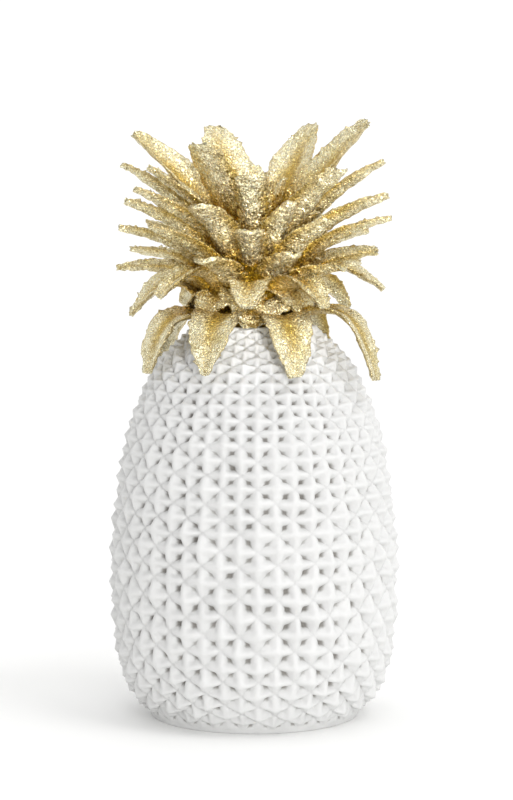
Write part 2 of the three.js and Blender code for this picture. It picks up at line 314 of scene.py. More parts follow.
# %% Crinkle the gold leaf
gloss = step("ShaderNodeMapRange", grain, 0.3, 0.7, *FOIL_GLOSS)
crease_height = step("ShaderNodeMapRange", creases, 0.0, CREASE_WIDTH, 0.0, 1.0)
flakes = step("ShaderNodeTexVoronoi", place, named={"Scale": 1 / FOIL_FLAKE, "Randomness": 1.0}, out=1)
flake_tilt = step("ShaderNodeVectorMath SUBTRACT", flakes, (0.5, 0.5, 0.5))
flake_tilt = step("ShaderNodeVectorMath SCALE", flake_tilt, named={"Scale": FLAKE_TILT})
skin_normal = step("ShaderNodeNewGeometry", out=1)
tilted = step("ShaderNodeVectorMath ADD", skin_normal, flake_tilt)
flake_normal = step("ShaderNodeVectorMath NORMALIZE", tilted)
fold_bump = step(
    "ShaderNodeBump",
    named={"Strength": 1.0, "Distance": FOLD_DEPTH, "Height": plains, "Normal": flake_normal},
)
bump = step(
    "ShaderNodeBump",
    named={"Strength": 0.6, "Distance": CREASE_DEPTH, "Height": crease_height, "Normal": fold_bump},
)
shader = step(
    "ShaderNodeBsdfPrincipled",
    named={"Base Color": colour, "Metallic": 1.0, "Roughness": gloss, "Normal": bump},
)
step("ShaderNodeOutputMaterial", shader, out=slice(None))
print("foil folds", round(FOIL_FOLD / MM, 1), "mm apart")

# %% [markdown]
# The outline of the body
#
# The studs sit on an egg shape that is turned about the upright axis. Its outline is a smooth curve through a
# few points, given as shares of the greatest radius and of the height. The rows of studs follow this curve:
# each row's pitch is a share of the radius there, so the studs keep their shape as the body narrows.

# %% Sample the outline by its length
BODY_RADIUS = 61 * MM
FOOT_RADIUS = 43.7 * MM
FOOT_BAND = 1.2 * MM
SEAT_RADIUS = 26 * MM
OUTLINE_STEPS = 60
OUTLINE_SHARES = [
    (0.842, 0.046), (0.924, 0.105), (0.977, 0.185), (0.996, 0.308), (1.0, 0.4), (0.985, 0.492),
    (0.943, 0.628), (0.883, 0.735), (0.791, 0.83), (0.688, 0.905), (0.575, 0.951),
]


def smooth_curve(points, steps):
    """Points along a Catmull-Rom curve through the given ones."""
    padded = np.array([points[0], *points, points[-1]], float)
    found = []
    for start in range(len(points) - 1):
        before, low, high, after = padded[start : start + 4]
        slope_low, slope_high = (high - before) / 2, (after - low) / 2
        for t in np.arange(steps) / steps:
            bend = (3 * high - 3 * low - 2 * slope_low - slope_high) * t**2
            found.append((2 * low - 2 * high + slope_low + slope_high) * t**3 + bend + slope_low * t + low)
    return np.array([*found, padded[-1]])


knots = [(radius * BODY_RADIUS, height * body_height) for radius, height in OUTLINE_SHARES]
outline = smooth_curve([(FOOT_RADIUS, FOOT_BAND), *knots, (SEAT_RADIUS, body_height)], OUTLINE_STEPS)
along = np.concatenate([[0], np.cumsum(np.linalg.norm(np.diff(outline, axis=0), axis=1))])
tangents = np.gradient(outline, along, axis=0)
print("the outline is", round(along[-1] / MM, 1), "mm long")


def outline_at(lengths, values=outline):
    """The outline's points, or its tangents, at lengths along it."""
    return np.stack([np.interp(lengths, along, values[:, axis]) for axis in (0, 1)], axis=-1)


# %% Space the rows of studs
ROW_PITCH = 0.102
ROW_SWELL = 0.016
SWELL_PLACE = 0.26
SWELL_SPREAD = 0.15
rows = [0.0]
while rows[-1] < along[-1]:
    radius, height = outline_at(rows[-1])
    fullness = math.exp(-(((height / body_height - SWELL_PLACE) / SWELL_SPREAD) ** 2))
    rows.append(rows[-1] + (ROW_PITCH + ROW_SWELL * fullness) * radius)
rows = np.array(rows) * along[-1] / rows[-1]
print(len(rows) - 1, "rows of studs")

# %% [markdown]
# The guide for the body
#
# A geometry tree is good at sums on a field of points and poor at walking along a curve by its length, so the
# two share the work. This cell writes the outline as loose points, seven for each row. Each carries what the
# tree needs there: which way is out, how tall the studs are, how far they droop, and the row that it lies in.
# The studs get lower where the body narrows, but by less than their width does, and fade out at both ends.

# %% Write the body's guide
STEPS_PER_ROW = 7
STUD_HEIGHT = 4.6 * MM
RELIEF_EASING = 0.55
STUD_DROOP = 0.3
DROOP_TOP = 0.45
FADE_ROWS = 1.2
FOOT_ROUNDING = 0.4 * MM
last_row = len(rows) - 1
row_places = np.arange(last_row * STEPS_PER_ROW + 1) / STEPS_PER_ROW
row_lengths = np.interp(row_places, np.arange(len(rows)), rows)
ring = outline_at(row_lengths)
lean = outline_at(row_lengths, tangents)
lean /= np.linalg.norm(lean, axis=1, keepdims=True)
fade = np.clip(np.minimum(row_places, last_row - row_places) / FADE_ROWS, 0, 1)
relief = STUD_HEIGHT * (ring[:, 0] / BODY_RADIUS) ** RELIEF_EASING * fade
row_pitch = np.interp(row_lengths, rows, np.gradient(rows))
droop = STUD_DROOP * row_pitch * np.clip(1 - ring[:, 1] / (DROOP_TOP * body_height), 0, 1) * fade

foot_ring = [(0, 0), (FOOT_RADIUS - FOOT_ROUNDING, 0), (FOOT_RADIUS, FOOT_ROUNDING)]
seat_ring = [(0, body_height)]
profile = np.array([*foot_ring, *ring, *seat_ring])
plain = ((len(foot_ring), len(seat_ring)),)
body_guide = point_guide(
    "body_guide",
    np.stack([profile[:, 0], np.zeros(len(profile)), profile[:, 1]], axis=1),
    {
        "out": np.pad(np.stack([lean[:, 1], np.zeros(len(ring)), -lean[:, 0]], axis=1), (plain[0], (0, 0))),
        "relief": np.pad(relief, plain),
        "droop": np.pad(droop, plain),
        "row": np.pad(row_places, plain, mode="edge"),
    },
)
print("the body's guide has", len(profile), "points")

# %% [markdown]
# The studs
#
# Seen from the front, each stud is a star of four rounded arms, up, down, left and right, that meet in a
# point. Neighbours touch at the ends of their arms, a fine seam runs between them, and a pit is left where
# the arms stand apart. Paint has partly filled some of the pits. One could model a single stud and copy it
# 800 times, but the copies would have to shrink and turn towards the seat, and their seams would never close.
# So the whole body is one net of points, and each point is pushed in by a depth that follows from its place
# in its stud.
#
# The sum is easy in slanted coordinates. With U counted in half studs around and V in rows up,
# p = (U + V) / 2 and q = (U - V) / 2 make every stud a unit square around whole numbers. What is left after
# rounding p and q says where in the stud a point lies, and the rounded numbers give each stud its own number.

# %% Bend a flat net into stud coordinates
FIRST_STUD_TURN = 1.6
studs, stud_in = geometry_tree(
    "stud field",
    {
        "Guide": ("NodeSocketObject", None),
        "Steps Around": ("NodeSocketInt", 337),
        "Steps Up": ("NodeSocketInt", 10),
        "Studs per Row": ("NodeSocketInt", 24),
        "First Stud Turn": ("NodeSocketFloat", math.radians(FIRST_STUD_TURN)),
        "Full Relief": ("NodeSocketFloat", STUD_HEIGHT),
        "Arm End Depth": ("NodeSocketFloat", 0.7),
        "Arm Half Width": ("NodeSocketFloat", 0.35),
        "Arm Roundness": ("NodeSocketFloat", 2.5),
        "Seam Depth": ("NodeSocketFloat", 0.1),
        "Filled Pit": ("NodeSocketFloat", 0.85),
        "Wear": ("NodeSocketFloat", 0.22),
        "Unevenness": ("NodeSocketFloat", 3.2 * MM),
        "Seed": ("NodeSocketInt", 3),
        "Material": ("NodeSocketMaterial", None),
    },
)
step = partial(add, studs)
net = step("GeometryNodeMeshGrid", 1.0, 1.0, stud_in["Steps Around"], stud_in["Steps Up"])
flat_place = step("GeometryNodeInputPosition")
net_x = step("ShaderNodeSeparateXYZ", flat_place)
net_y = step("ShaderNodeSeparateXYZ", flat_place, out=1)
around = step("ShaderNodeMath ADD", net_x, 0.5)
height_share = step("ShaderNodeMath ADD", net_y, 0.5)
rings = step("ShaderNodeMath SUBTRACT", stud_in["Steps Up"], 1.0)
ring_number = step("ShaderNodeMath ROUND", step("ShaderNodeMath MULTIPLY", height_share, rings))
here = read_guide(
    studs,
    stud_in["Guide"],
    ring_number,
    {"place": "FLOAT_VECTOR", "out": "FLOAT_VECTOR", "relief": "FLOAT", "droop": "FLOAT", "row": "FLOAT"},
)

# %% Find each point's place in its stud
ROW_STRIDE = 97.0
columns = step("ShaderNodeMath MULTIPLY", stud_in["Studs per Row"], 2.0)
half_studs = step("ShaderNodeMath MULTIPLY", around, columns)
p = step("ShaderNodeMath MULTIPLY", step("ShaderNodeMath ADD", half_studs, here["row"]), 0.5)
q = step("ShaderNodeMath MULTIPLY", step("ShaderNodeMath SUBTRACT", half_studs, here["row"]), 0.5)
p_whole = step("ShaderNodeMath ROUND", p)
q_whole = step("ShaderNodeMath ROUND", q)
p_left = step("ShaderNodeMath SUBTRACT", p, p_whole)
q_left = step("ShaderNodeMath SUBTRACT", q, q_whole)
across = step("ShaderNodeMath ABSOLUTE", step("ShaderNodeMath ADD", p_left, q_left))
upward = step("ShaderNodeMath ABSOLUTE", step("ShaderNodeMath SUBTRACT", p_left, q_left))
from_tip = step("ShaderNodeMath MAXIMUM", across, upward)
off_arm = step("ShaderNodeMath MINIMUM", across, upward)
from_seam = step("ShaderNodeMath SUBTRACT", 1.0, step("ShaderNodeMath ADD", across, upward))

# A number for each stud that is the same on both sides of the closing seam
stud_column = step("ShaderNodeMath FLOORED_MODULO", step("ShaderNodeMath ADD", p_whole, q_whole), columns)
stud_row = step("ShaderNodeMath SUBTRACT", p_whole, q_whole)
stud_number = step("ShaderNodeMath MULTIPLY_ADD", stud_row, ROW_STRIDE, stud_column)
chance = step(
    "FunctionNodeRandomValue", named={"ID": stud_number, "Seed": stud_in["Seed"]}, data_type="FLOAT"
)
print("stud coordinates are ready")

# %% Work out the depth under the tips
PIT_PAINT_SCALE = 70.0
PIT_PAINT_RANGE = (0.3, 0.65)
OPEN_PIT = 1.25
PIT_EDGE_BLEND = 0.3
SEAM_SHARPNESS = 9.0
arm_fall = step("ShaderNodeMath MULTIPLY", from_tip, stud_in["Arm End Depth"])
surface = step("ShaderNodeVectorMath ADD", here["place"], step("ShaderNodeCombineXYZ", 0.0, around, 0.0))
paint_in_pits = step("ShaderNodeTexNoise", surface, named={"Scale": PIT_PAINT_SCALE, "Detail": 1.0})
pit_share = step("ShaderNodeMapRange", paint_in_pits, *PIT_PAINT_RANGE, OPEN_PIT, stud_in["Filled Pit"])
pit_fall = step("ShaderNodeMath MULTIPLY", step("ShaderNodeMath SUBTRACT", 1.0, arm_fall), pit_share)
off_share = step("ShaderNodeMath DIVIDE", off_arm, stud_in["Arm Half Width"])
in_pit = step("ShaderNodeMath SMOOTH_MIN", off_share, 1.0, PIT_EDGE_BLEND)
round_side = step("ShaderNodeMath POWER", in_pit, stud_in["Arm Roundness"])
side_fall = step("ShaderNodeMath MULTIPLY", pit_fall, round_side)
near_seam = step("ShaderNodeMath MULTIPLY_ADD", from_seam, -SEAM_SHARPNESS, 1.0)
seam_share = step("ShaderNodeMath MAXIMUM", near_seam, 0.0)
seam_fall = step("ShaderNodeMath MULTIPLY", seam_share, stud_in["Seam Depth"])
worn = step("ShaderNodeMath MULTIPLY", chance, stud_in["Wear"])
tip_wear = step("ShaderNodeMath MULTIPLY", worn, from_seam)
star = step("ShaderNodeMath ADD", arm_fall, side_fall)
depth = step("ShaderNodeMath ADD", star, step("ShaderNodeMath ADD", seam_fall, tip_wear))
print("the depth is a sum of arms, pits, seams and wear")

# %% Push, sag and turn the net about the upright axis
DRIFT_SCALE = 80.0
MERGE_DISTANCE = 0.02 * MM
depth_here = step("ShaderNodeMath MULTIPLY", depth, here["relief"])
inward = step("ShaderNodeVectorMath SCALE", here["out"], named={"Scale": depth_here})
pushed = step("ShaderNodeVectorMath SUBTRACT", here["place"], inward)
down = step("ShaderNodeVectorMath CROSS_PRODUCT", (0, 1, 0), here["out"])
sag = step("ShaderNodeMath MULTIPLY", here["droop"], step("ShaderNodeMath MAXIMUM", from_seam, 0.0))
sagged = step(
    "ShaderNodeVectorMath ADD", pushed, step("ShaderNodeVectorMath SCALE", down, named={"Scale": sag})
)
turn = step("ShaderNodeMath MULTIPLY_ADD", around, 2 * math.pi, stud_in["First Stud Turn"])
from_x = step("ShaderNodeMath SUBTRACT", turn, math.pi / 2)
turned = step(
    "ShaderNodeVectorRotate", sagged, named={"Center": (0, 0, 0), "Axis": (0, 0, 1), "Angle": from_x}
)
drift = step("ShaderNodeTexNoise", turned, named={"Scale": DRIFT_SCALE, "Detail": 1.0}, out=1)
centred = step("ShaderNodeVectorMath SUBTRACT", drift, (0.5, 0.5, 0.5))
relief_share = step("ShaderNodeMath DIVIDE", here["relief"], stud_in["Full Relief"])
strength = step("ShaderNodeMath MULTIPLY", relief_share, stud_in["Unevenness"])
moved = step("ShaderNodeVectorMath SCALE", centred, named={"Scale": strength})
final_place = step("ShaderNodeVectorMath ADD", turned, moved)
for label, value in {"hollow": depth, "half_studs": half_studs, "row_place": here["row"]}.items():
    net = step("GeometryNodeStoreNamedAttribute", net, None, label, value, data_type="FLOAT")

# Every square is cut along the seam that may cross it, so that no seam is jagged
cells = []
for label in ("half_studs", "row_place"):
    carried = step("GeometryNodeInputNamedAttribute", label, data_type="FLOAT")
    cells.append(step("ShaderNodeMath FLOOR", carried))
parity = step("ShaderNodeMath FLOORED_MODULO", step("ShaderNodeMath ADD", *cells), 2.0)
rising = step("FunctionNodeCompare GREATER_THAN", parity, 0.5, data_type="FLOAT")
net = step("GeometryNodeTriangulate", net, rising, quad_method="FIXED")
net = step("GeometryNodeTriangulate", net, quad_method="FIXED_ALTERNATE")
net = step("GeometryNodeSetPosition", net, None, final_place)
net = step("GeometryNodeMergeByDistance", net, named={"Distance": MERGE_DISTANCE})
finish_tree(studs, step("GeometryNodeSetShadeSmooth", net), stud_in["Material"])
print("the stud tree has", len(studs.nodes), "nodes")

# %% Grow the body
STUDS_PER_ROW = 24
body = grow(
    "studded_body",
    studs,
    {
        "Guide": body_guide,
        "Steps Around": 2 * STUDS_PER_ROW * STEPS_PER_ROW + 1,
        "Steps Up": len(profile),
        "Studs per Row": STUDS_PER_ROW,
        "Full Relief": STUD_HEIGHT,
        "Material": paint,
    },
)
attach(body, "root")
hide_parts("body")
bpy.data.objects.remove(body_guide)

# %% [markdown]
# The leaves
#
# Each leaf is cast as a blade folded up along its middle. It leaves the heart of the crown steeply, arches
# over and ends torn, not sharp. No two are alike, but all follow the same rule: a line in an upright plane, a
# width along it, a fold and a roll. So the table below holds only what makes each leaf itself, tier by tier
# from the skirt up, and one geometry tree makes the blades. The ninth tier is a sheath of short leaves that
# closes around the hub, and the last three leaves of the eighth close the heart from above.

# %% List the leaves
CROWN_RADIUS = 59 * MM
LEAF_WIDTH = 20 * MM
LEAF_THICKNESS = 1.7 * MM
DRAPE_GAP = 0.9 * MM
LEAF_ROOT_WIDTH = 0.8
LEAF_FULL_AT = 0.33
LEAF_TAPER = 1.6
HANDLE_SHARE = 0.33
HANDLE_BY_ARCH = 0.006
LINE_SAMPLES = 200
TIP_OPENING = 0.55
NARROW_TIP = 0.35
TIP_WIDTH_SPAN = 0.3

# A tier: where its leaves start, as shares of the crown's radius and height, and their arch and fold in
# degrees. A leaf: its turn, its tip's reach and height, its width and tip width in shares, and its roll
TIERS = [
    ((0.2, 0.04), 47, 15, [
        (-64, 0.83, -0.24, 1.1, 0.4, 8), (-23, 0.86, -0.23, 1.25, 0.25, 0),
        (19.5, 0.84, -0.245, 1.15, 0.4, 0), (61, 0.96, -0.26, 0.95, 0.35, 0),
        (103, 0.85, -0.17, 1, 0.25, 0), (147, 0.86, -0.24, 1.15, 0.35, 0),
        (190, 0.84, -0.22, 1.15, 0.3, 0), (-125, 0.84, -0.25, 1.1, 0.35, 0)]),
    ((0.18, 0.09), 50, 24, [
        (-98, 0.91, 0.03, 1.15, 0.3, 25), (-50, 0.88, 0.13, 1, 0.35, 0), (-4, 0.76, 0.08, 1, 0.45, 0),
        (38, 0.8, 0.08, 1, 0.35, 0), (85, 0.93, 0.16, 1.05, 0.25, -12), (128, 0.88, 0.06, 1.05, 0.35, 0),
        (170, 0.9, 0.1, 1.1, 0.35, 0), (-143, 0.88, 0.08, 1.05, 0.3, 0)]),
    ((0.17, 0.13), 25, 34, [
        (-105, 0.94, 0.37, 0.95, 0.3, 0), (-78, 1, 0.275, 1, 0.2, 10), (-32, 0.72, 0.32, 1.05, 0.55, 0),
        (26, 0.66, 0.35, 1, 0.4, 0), (56, 0.78, 0.28, 1, 0.4, 0), (82, 0.91, 0.36, 1.05, 0.45, -15),
        (124, 0.95, 0.3, 1, 0.3, 0), (165, 0.92, 0.34, 1.05, 0.35, 0), (-148, 0.93, 0.32, 1, 0.3, 0)]),
    ((0.15, 0.19), 22, 40, [
        (-86, 0.97, 0.47, 0.9, 0.2, 0), (-58, 0.87, 0.475, 1, 0.25, 12), (-3, 0.62, 0.465, 0.8, 0.6, 0),
        (48, 0.74, 0.51, 1.1, 0.45, 0), (82, 0.98, 0.515, 0.9, 0.2, 0), (118, 0.95, 0.46, 0.95, 0.25, 0),
        (156, 0.93, 0.5, 1, 0.35, 0), (-165, 0.93, 0.48, 1, 0.3, 0), (-124, 0.95, 0.5, 0.95, 0.25, 0)]),
    ((0.13, 0.26), 18, 40, [
        (-76, 0.95, 0.6, 0.95, 0.3, 0), (-38, 0.7, 0.585, 1.2, 0.7, 0), (27, 0.6, 0.59, 1, 0.3, 0),
        (75, 0.98, 0.625, 0.95, 0.3, 0), (108, 0.92, 0.62, 0.9, 0.25, 0), (142, 0.92, 0.6, 0.95, 0.3, 0),
        (-176, 0.9, 0.62, 1, 0.35, 0), (-138, 0.92, 0.64, 0.95, 0.3, 0)]),
    ((0.11, 0.33), 14, 40, [
        (-82, 0.94, 0.77, 0.9, 0.2, 0), (-62, 0.94, 0.65, 0.95, 0.25, 12), (-4, 0.46, 0.735, 0.8, 0.65, 0),
        (48, 0.84, 0.75, 1.15, 0.6, 0), (73, 0.95, 0.78, 0.85, 0.2, 0), (103, 0.86, 0.76, 0.9, 0.25, 0),
        (160, 0.82, 0.78, 0.95, 0.35, 0), (-158, 0.84, 0.74, 0.95, 0.3, 0)]),
    ((0.09, 0.4), 10, 34, [
        (-64, 0.82, 0.75, 0.9, 0.25, 20), (-80, 0.87, 0.92, 1.2, 0.35, 40), (70, 0.85, 0.97, 1.3, 0.45, -40),
        (180, 0.4, 0.79, 0.8, 0.4, 0)]),
    ((0.06, 0.46), 4, 24, [
        (-152, 0.66, 0.993, 1.4, 0.55, 0), (-45, 0.59, 0.88, 1.3, 0.7, 0), (136, 0.62, 0.993, 1.4, 0.5, 0),
        (12, 0.2, 0.69, 0.85, 0.4, 0), (100, 0.22, 0.72, 0.8, 0.35, 0), (-100, 0.23, 0.7, 0.85, 0.4, 0)]),
    ((0.1, 0.06), 58, 12, [
        (-44, 0.5, 0.02, 1.2, 0.6, 0), (-12, 0.49, 0.05, 1.2, 0.5, 8), (12, 0.5, 0, 1.1, 0.7, -6),
        (42, 0.53, 0.03, 1.2, 0.5, 0), (84, 0.5, 0.04, 1.2, 0.6, 0), (126, 0.5, 0.02, 1.2, 0.5, 0),
        (170, 0.5, 0.03, 1.2, 0.6, 0), (-145, 0.5, 0.04, 1.2, 0.5, 0), (-95, 0.52, 0.02, 1.2, 0.6, 0),
        (0, 0.5, -0.035, 1, 0.75, 0)]),
]
print(sum(len(tier[3]) for tier in TIERS), "leaves in", len(TIERS), "tiers")


# %% Draw the line of a leaf
def leaf_line(root, tip, arch, steps):
    """Evenly spaced points of a leaf's rim line, as radius and height, from inside the hub to the tip."""
    chord = tip - root
    handle = np.linalg.norm(chord) * (HANDLE_SHARE + HANDLE_BY_ARCH * arch)
    heading = math.atan2(chord[1], chord[0])
    bow = math.radians(arch)
    start = root + handle * np.array([math.cos(heading + bow), math.sin(heading + bow)])
    end = tip - handle * np.array([math.cos(heading - bow), math.sin(heading - bow)])
    t = np.linspace(0, 1, LINE_SAMPLES)[:, None]
    line = root * (1 - t) ** 3 + 3 * start * t * (1 - t) ** 2 + 3 * end * t**2 * (1 - t) + tip * t**3
    length = np.concatenate([[0], np.cumsum(np.linalg.norm(np.diff(line, axis=0), axis=1))])
    even = np.linspace(0, length[-1], steps + 1)
    return np.stack([np.interp(even, length, line[:, axis]) for axis in (0, 1)], axis=1)


def half_widths(shares, width, tip_width):
    """A leaf's half width along it: full at a third, and narrowing to its tip."""
    full = width * LEAF_WIDTH / 2
    opening = LEAF_ROOT_WIDTH + (1 - LEAF_ROOT_WIDTH) * np.sin(shares / LEAF_FULL_AT * math.pi / 2)
    towards_tip = np.clip((shares - LEAF_FULL_AT) / (1 - LEAF_FULL_AT), 0, 1) ** LEAF_TAPER
    closing = full + (tip_width * LEAF_WIDTH / 2 - full) * towards_tip
    return np.where(shares < LEAF_FULL_AT, full * opening, closing)


print("a leaf line is a curve in an upright plane")


# %% Set a tier of leaves in space
def tier_guide(name, tier, steps):
    """The guide of a tier: every leaf's line in space, with its directions and half widths.
    A leaf with a broad tip opens flat there."""
    (root_reach, root_height), arch, fold, leaf_rows = tier
    root = np.array([root_reach * CROWN_RADIUS, crown_seat + root_height * crown_height])
    shares = np.linspace(0, 1, steps + 1)
    upright = np.array([0, 0, 1])
    places, sides, uppers, runs, halves, openings = [], [], [], [], [], []
    for turn, reach, height, width, tip_width, roll in leaf_rows:
        tip = np.array([reach * CROWN_RADIUS, crown_seat + height * crown_height])
        line = leaf_line(root, tip, arch, steps)
        slope = np.gradient(line, axis=0)
        slope /= np.linalg.norm(slope, axis=1, keepdims=True)
        half = half_widths(shares, width, tip_width)
        keel = half * math.sin(math.radians(fold)) + LEAF_THICKNESS / 2
        clear = np.interp(line[:, 1], outline[:, 1], outline[:, 0]) + DRAPE_GAP + keel
        hangs = (line[:, 1] - keel < body_height) & (slope[:, 1] < 0)
        radius = np.where(hangs, np.maximum(line[:, 0], clear), line[:, 0])
        angle = math.radians(turn)
        outward = np.array([math.sin(angle), -math.cos(angle), 0])
        level = np.array([math.cos(angle), math.sin(angle), 0])
        run = slope[:, :1] * outward + slope[:, 1:] * upright
        tilt = math.radians(roll)
        side = level * math.cos(tilt) - np.cross(run, level) * math.sin(tilt)
        places.append(radius[:, None] * outward + line[:, 1:] * upright)
        sides.append(side)
        uppers.append(np.cross(run, side))
        runs.append(run)
        halves.append(half)
        breadth = np.clip((tip_width - NARROW_TIP) / TIP_WIDTH_SPAN, 0, 1)
        openings.append(np.full(steps + 1, TIP_OPENING * breadth))
    carried = {"side": np.concatenate(sides), "upper": np.concatenate(uppers), "run": np.concatenate(runs)}
    carried |= {"half": np.concatenate(halves), "open": np.concatenate(openings)}
    return point_guide(name, np.concatenate(places), carried)


print("a tier's leaves share their roots, arch and fold")

# %% [markdown]
# The leaf tree
#
# A blade has two faces and a rim, so it is grown from a closed tube: a cylinder of unit size for each leaf,
# laid along that leaf's line and pressed flat. The cylinder's X goes across the blade, its Y through the
# thickness and its Z along the line. The edges are then torn and set with small barbs, the tip is cut ragged,
# and at last the whole skin is lumped and crinkled along its normals, as wet casting clay is.

# %% Lay a tube along every leaf line
leaves, leaf_in = geometry_tree(
    "leaf blades",
    {
        "Guide": ("NodeSocketObject", None),
        "Leaf Count": ("NodeSocketInt", 8),
        "Steps Along": ("NodeSocketInt", 52),
        "Section Sides": ("NodeSocketInt", 48),
        "Fold": ("NodeSocketFloat", 0.5),
        "Thickness": ("NodeSocketFloat", LEAF_THICKNESS),
        "Edge Tear": ("NodeSocketFloat", 0.5),
        "Barb Length": ("NodeSocketFloat", 7 * MM),
        "Tip Tear": ("NodeSocketFloat", 1.0),
        "Lump Height": ("NodeSocketFloat", 2.2 * MM),
        "Crinkle Height": ("NodeSocketFloat", 1.3 * MM),
        "Seed": ("NodeSocketInt", 1),
        "Material": ("NodeSocketMaterial", None),
    },
)
step = partial(add, leaves)
tube = step(
    "GeometryNodeMeshCylinder",
    leaf_in["Section Sides"],
    leaf_in["Steps Along"],
    1,
    1.0,
    1.0,
    fill_type="TRIANGLE_FAN",
)
spots = step("GeometryNodePoints", leaf_in["Leaf Count"])
numbered = step(
    "GeometryNodeStoreNamedAttribute",
    spots,
    None,
    "leaf",
    step("GeometryNodeInputIndex"),
    data_type="FLOAT",
)
tubes = step("GeometryNodeInstanceOnPoints", numbered, None, tube)
tubes = step("GeometryNodeRealizeInstances", tubes)
tube_place = step("GeometryNodeInputPosition")
u = step("ShaderNodeSeparateXYZ", tube_place)
through = step("ShaderNodeSeparateXYZ", tube_place, out=1)
share = step("ShaderNodeMath ADD", step("ShaderNodeSeparateXYZ", tube_place, out=2), 0.5)
leaf = step("GeometryNodeInputNamedAttribute", "leaf", data_type="FLOAT")
points_each = step("ShaderNodeMath ADD", leaf_in["Steps Along"], 1.0)
first_point = step("ShaderNodeMath MULTIPLY", leaf, points_each)
along_line = step("ShaderNodeMath ROUND", step("ShaderNodeMath MULTIPLY", share, leaf_in["Steps Along"]))
here = read_guide(
    leaves,
    leaf_in["Guide"],
    step("ShaderNodeMath ADD", first_point, along_line),
    {**dict.fromkeys(("place", "side", "upper", "run"), "FLOAT_VECTOR"), "half": "FLOAT", "open": "FLOAT"},
)

# %% Tear the edges and set the barbs
LEAF_STRIDE = 7.31
EDGE_STRIDE = 3.7
SLOW_TEARS = 9.0
QUICK_TEARS = 30.0
BARB_THRESHOLD = 0.55
BARB_RIM_POWER = 10.0
off_middle = step("ShaderNodeMath ABSOLUTE", u)
edge_sign = step("ShaderNodeMath SIGN", u)
own_number = step("ShaderNodeMath MULTIPLY_ADD", leaf, LEAF_STRIDE, leaf_in["Seed"])
edge_number = step("ShaderNodeMath MULTIPLY_ADD", edge_sign, EDGE_STRIDE, own_number)
slow_share = step("ShaderNodeMath MULTIPLY", share, SLOW_TEARS)
slow_place = step("ShaderNodeCombineXYZ", slow_share, edge_number, 0.0)
slow_tear = step("ShaderNodeTexNoise", slow_place, named={"Scale": 1.0, "Detail": 3.0, "Roughness": 0.7})
quick_share = step("ShaderNodeMath MULTIPLY", share, QUICK_TEARS)
quick_place = step("ShaderNodeCombineXYZ", quick_share, edge_number, 9.0)
quick_tear = step("ShaderNodeTexNoise", quick_place, named={"Scale": 1.0, "Detail": 1.0})
tear = step("ShaderNodeMath MULTIPLY", step("ShaderNodeMath SUBTRACT", slow_tear, 0.5), leaf_in["Edge Tear"])
near_edge = step("ShaderNodeMath POWER", off_middle, 2.0)
widen = step("ShaderNodeMath MULTIPLY_ADD", tear, near_edge, 1.0)
half = step("ShaderNodeMath MULTIPLY", here["half"], widen)
above = step("ShaderNodeMath SUBTRACT", quick_tear, BARB_THRESHOLD)
barb_start = step("ShaderNodeMath MAXIMUM", above, 0.0)
at_rim = step("ShaderNodeMath POWER", off_middle, BARB_RIM_POWER)
rim_length = step("ShaderNodeMath MULTIPLY", at_rim, leaf_in["Barb Length"])
barb = step("ShaderNodeMath MULTIPLY", barb_start, rim_length)
print("edges are torn by two noises along them")

# %% Fold the blade
RIDGE_ROUNDING = 0.05
BARB_LIFT = 0.7
FACE_FULLNESS = 0.6
OPENING_RANGE = (0.4, 0.9)
opening = step("ShaderNodeMapRange", share, *OPENING_RANGE, 0.0, here["open"])
kept_fold = step("ShaderNodeMath SUBTRACT", 1.0, opening)
fold_here = step("ShaderNodeMath MULTIPLY", leaf_in["Fold"], kept_fold)
cosine = step("ShaderNodeMath COSINE", fold_here)
sine = step("ShaderNodeMath SINE", fold_here)
spread = step("ShaderNodeMath MULTIPLY", step("ShaderNodeMath MULTIPLY", half, u), cosine)
spread = step("ShaderNodeMath MULTIPLY_ADD", barb, edge_sign, spread)
rounded = step("ShaderNodeMath SQRT", step("ShaderNodeMath MULTIPLY_ADD", u, u, RIDGE_ROUNDING))
folded = step("ShaderNodeMath MULTIPLY", step("ShaderNodeMath SUBTRACT", rounded, 1.0), sine)
lift = step("ShaderNodeMath MULTIPLY_ADD", half, folded, step("ShaderNodeMath MULTIPLY", barb, BARB_LIFT))
plump = step("ShaderNodeMath POWER", step("ShaderNodeMath ABSOLUTE", through), FACE_FULLNESS)
face = step("ShaderNodeMath MULTIPLY", plump, step("ShaderNodeMath SIGN", through))
half_thickness = step("ShaderNodeMath MULTIPLY", leaf_in["Thickness"], 0.5)
lift = step("ShaderNodeMath MULTIPLY_ADD", face, half_thickness, lift)
print("blades are folded")

# %% Cut the tip and lay the blade in place
TIP_START = 0.78
TIP_TEARS = 2.2
TIP_CORNER = 0.4
tip_share = step("ShaderNodeMapRange", share, TIP_START, 1.0, 0.0, 1.0, interpolation_type="SMOOTHSTEP")
tip_place = step("ShaderNodeCombineXYZ", step("ShaderNodeMath MULTIPLY", u, TIP_TEARS), own_number, 4.0)
tip_noise = step("ShaderNodeTexNoise", tip_place, named={"Scale": 1.0, "Detail": 2.0, "Roughness": 0.7})
tip_corner = step("ShaderNodeMath MULTIPLY", step("ShaderNodeMath POWER", off_middle, 3.0), TIP_CORNER)
tip_tear = step("ShaderNodeMath MULTIPLY", tip_noise, leaf_in["Tip Tear"])
tip_cut = step("ShaderNodeMath ADD", tip_tear, tip_corner)
tip_depth = step("ShaderNodeMath MULTIPLY", step("ShaderNodeMath MULTIPLY", tip_cut, here["half"]), tip_share)
shorten = step("ShaderNodeMath MULTIPLY", tip_depth, -1.0)
blade_place = here["place"]
for direction, amount in (("side", spread), ("upper", lift), ("run", shorten)):
    shift = step("ShaderNodeVectorMath SCALE", here[direction], named={"Scale": amount})
    blade_place = step("ShaderNodeVectorMath ADD", blade_place, shift)
